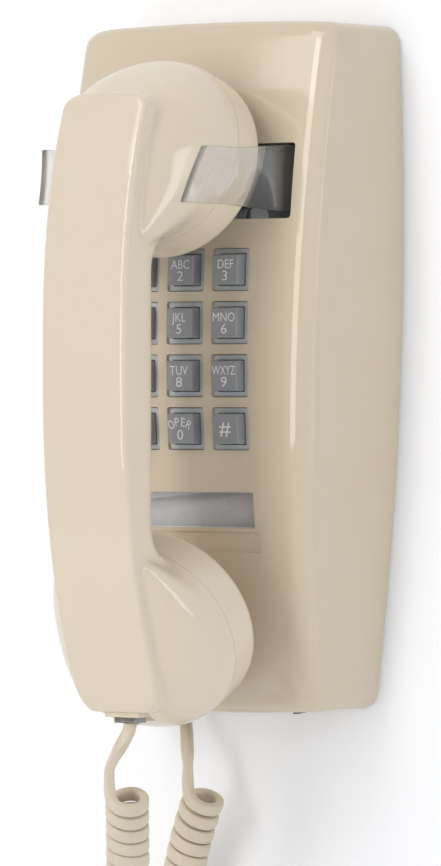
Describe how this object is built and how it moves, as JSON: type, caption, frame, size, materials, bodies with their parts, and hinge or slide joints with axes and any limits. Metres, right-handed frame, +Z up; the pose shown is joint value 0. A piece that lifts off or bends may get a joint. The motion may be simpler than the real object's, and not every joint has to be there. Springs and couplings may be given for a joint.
{
  "type": "corded landline phone",
  "caption": "Wall-mounted push-button telephone with a two-cap handset on clear hook arms and a curly handset cord.",
  "frame": {"origin": "midway between the round parts of the two wall keyholes, in the plane of the wall", "axes": "+X to the right seen from the front, +Y into the wall, +Z up"},
  "size_m": [0.1128, 0.1084, 0.429],
  "materials": {
    "beige_housing": "gloss",
    "beige_handset": "gloss",
    "beige_vinyl": "satin",
    "grey_keys": "satin",
    "grey_collars": "matte",
    "silver_card": "satin",
    "clear_plastic": "gloss",
    "sheet_steel": "satin",
    "gong_brass": "gloss",
    "coil_winding": "satin",
    "green_board": "satin",
    "black_plastic": "matte"
  },
  "bodies": {
    "wall_set": {"housing": "beige_housing", "base_plate": "sheet_steel", "line_plug": "clear_plastic", "number_card": "silver_card", "card_window": "clear_plastic", "housing_screws": "sheet_steel", "keypad_bezel": "grey_collars", "keypad_board": "green_board", "keypad_spring_sheet": "silver_card", "keypad_bracket": "sheet_steel", "hook_pivot_pin": "sheet_steel", "hook_spring": "sheet_steel", "hook_switch": "black_plastic", "network_board": "green_board", "ringer_frame": "sheet_steel", "ringer_coil": "coil_winding", "gong_left": "gong_brass", "gong_right": "gong_brass", "base_jack": "black_plastic", "cord_plug_base": "clear_plastic", "cord_lead_handset": "beige_vinyl", "cord_coil": "beige_vinyl", "cord_lead_base": "beige_vinyl"},
    "hook": {"hook_arm_left": "clear_plastic", "hook_arm_right": "clear_plastic", "hook_lever": "sheet_steel"},
    "handset": {"handset_shell": "beige_handset", "receiver_cap": "beige_handset", "transmitter_cap": "beige_handset", "receiver_capsule": "sheet_steel", "transmitter_capsule": "black_plastic", "handset_jack": "black_plastic", "cord_plug_handset": "clear_plastic"},
    "button_1": {"key_1": "grey_keys"},
    "button_2": {"key_2": "grey_keys"},
    "button_3": {"key_3": "grey_keys"},
    "button_4": {"key_4": "grey_keys"},
    "button_5": {"key_5": "grey_keys"},
    "button_6": {"key_6": "grey_keys"},
    "button_7": {"key_7": "grey_keys"},
    "button_8": {"key_8": "grey_keys"},
    "button_9": {"key_9": "grey_keys"},
    "button_star": {"key_star": "grey_keys"},
    "button_0": {"key_0": "grey_keys"},
    "button_hash": {"key_hash": "grey_keys"},
    "ringer_clapper": {"clapper": "sheet_steel"},
    "volume_wheel": {"ringer_volume_wheel": "black_plastic"}
  },
  "joints": [
    {"name": "handset_lift", "type": "slide", "parent": "wall_set", "child": "handset", "axis": [0, -0.342, 0.9397], "range_m": [0, 0.08]},
    {"name": "hook_lift", "type": "hinge", "parent": "wall_set", "child": "hook", "pos_m": [0, -0.022, 0.046], "axis": [-1, 0, 0], "range_deg": [0, 2.2]},
    {"name": "press_1", "type": "slide", "parent": "wall_set", "child": "button_1", "axis": [0, 1, 0], "range_m": [0, 0.0025], "stiffness_N_per_m": 300},
    {"name": "press_2", "type": "slide", "parent": "wall_set", "child": "button_2", "axis": [0, 1, 0], "range_m": [0, 0.0025], "stiffness_N_per_m": 300},
    {"name": "press_3", "type": "slide", "parent": "wall_set", "child": "button_3", "axis": [0, 1, 0], "range_m": [0, 0.0025], "stiffness_N_per_m": 300},
    {"name": "press_4", "type": "slide", "parent": "wall_set", "child": "button_4", "axis": [0, 1, 0], "range_m": [0, 0.0025], "stiffness_N_per_m": 300},
    {"name": "press_5", "type": "slide", "parent": "wall_set", "child": "button_5", "axis": [0, 1, 0], "range_m": [0, 0.0025], "stiffness_N_per_m": 300},
    {"name": "press_6", "type": "slide", "parent": "wall_set", "child": "button_6", "axis": [0, 1, 0], "range_m": [0, 0.0025], "stiffness_N_per_m": 300},
    {"name": "press_7", "type": "slide", "parent": "wall_set", "child": "button_7", "axis": [0, 1, 0], "range_m": [0, 0.0025], "stiffness_N_per_m": 300},
    {"name": "press_8", "type": "slide", "parent": "wall_set", "child": "button_8", "axis": [0, 1, 0], "range_m": [0, 0.0025], "stiffness_N_per_m": 300},
    {"name": "press_9", "type": "slide", "parent": "wall_set", "child": "button_9", "axis": [0, 1, 0], "range_m": [0, 0.0025], "stiffness_N_per_m": 300},
    {"name": "press_star", "type": "slide", "parent": "wall_set", "child": "button_star", "axis": [0, 1, 0], "range_m": [0, 0.0025], "stiffness_N_per_m": 300},
    {"name": "press_0", "type": "slide", "parent": "wall_set", "child": "button_0", "axis": [0, 1, 0], "range_m": [0, 0.0025], "stiffness_N_per_m": 300},
    {"name": "press_hash", "type": "slide", "parent": "wall_set", "child": "button_hash", "axis": [0, 1, 0], "range_m": [0, 0.0025], "stiffness_N_per_m": 300},
    {"name": "clapper_swing", "type": "hinge", "parent": "wall_set", "child": "ringer_clapper", "pos_m": [0, -0.016, -0.063], "axis": [0, 1, 0], "range_deg": [-4, 4]},
    {"name": "volume_turn", "type": "hinge", "parent": "wall_set", "child": "volume_wheel", "pos_m": [0.02, -0.0085, -0.107], "axis": [0, 1, 0], "range_deg": [0, 90]}
  ],
  "couplings": [
    {"joint": "hook_lift", "follows": "handset_lift", "rad_per_m": 0.48}
  ]
}
